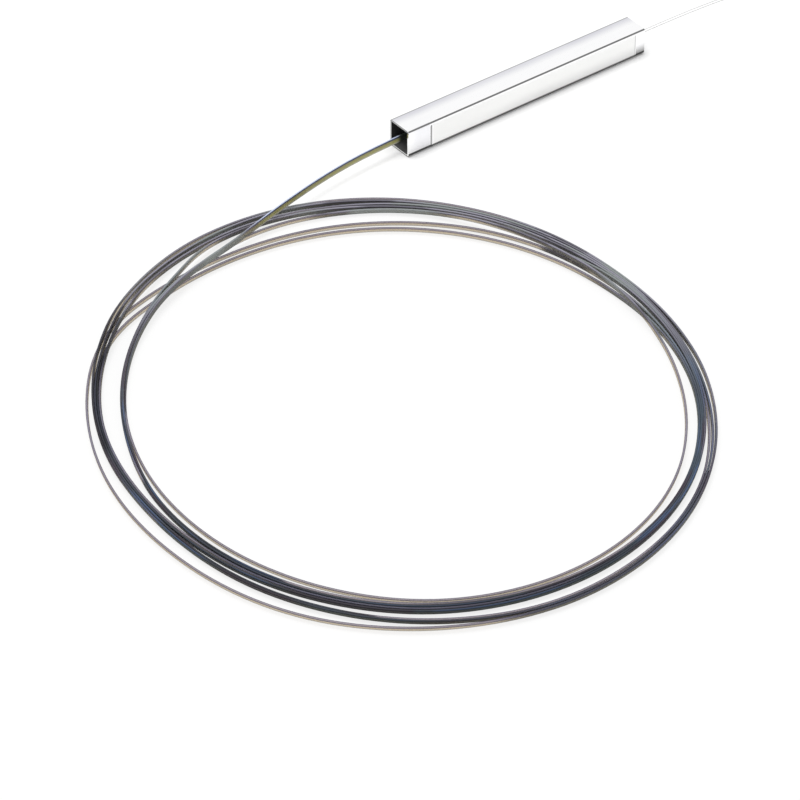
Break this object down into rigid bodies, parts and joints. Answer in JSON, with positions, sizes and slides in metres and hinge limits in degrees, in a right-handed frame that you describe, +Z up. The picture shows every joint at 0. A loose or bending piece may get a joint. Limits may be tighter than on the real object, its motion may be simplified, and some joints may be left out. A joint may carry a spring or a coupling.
{
  "type": "fibre optic splitter",
  "caption": "Bare-fibre planar optical splitter in a square steel tube: one clear fibre enters one end, a flat fibre ribbon leaves the other and lies in loose turns",
  "frame": {"origin": "middle of the tube's underside, on the surface that the tube and its coils lie on", "axes": "+X along the tube towards its input end, the ribbon leaves at -X, +Y across the tube away from the marking film, +Z up"},
  "size_m": [0.1494, 0.1047, 0.004],
  "materials": {
    "polished_steel": "polished stainless steel",
    "label_film": "thin silvery film, blank",
    "dark_potting": "dark dished potting",
    "clear_silicone": "milky soft silicone",
    "chip_glass": "polished quartz die",
    "core_glass": "clear silica",
    "lid_glass": "polished glass block",
    "array_glass": "grooved borosilicate glass",
    "amber_epoxy": "cured optical epoxy",
    "clear_fibre": "clear acrylate coating",
    "ribbon": "four coloured fibres in clear matrix"
  },
  "bodies": {
    "root": {"steel_tube": "polished_steel", "side_label": "label_film", "output_end_seal": "dark_potting", "input_end_seal": "clear_silicone", "splitter_chip": "chip_glass", "waveguide_circuit": "core_glass", "chip_input_lid": "lid_glass", "chip_output_lid": "lid_glass", "input_array_base": "array_glass", "input_array_lid": "lid_glass", "output_array_base": "array_glass", "output_array_lid": "lid_glass", "input_glass_fibre": "core_glass", "output_glass_fibres": "core_glass", "input_shelf_glue": "amber_epoxy", "output_shelf_glue": "amber_epoxy", "input_cushion": "clear_silicone", "output_cushion": "clear_silicone", "input_fibre_tail": "clear_fibre", "output_ribbon_tail": "ribbon", "output_ribbon_lead": "ribbon", "output_ribbon_coil": "ribbon", "input_fibre_lead": "clear_fibre", "input_fibre_coil": "clear_fibre"}
  },
  "joints": []
}
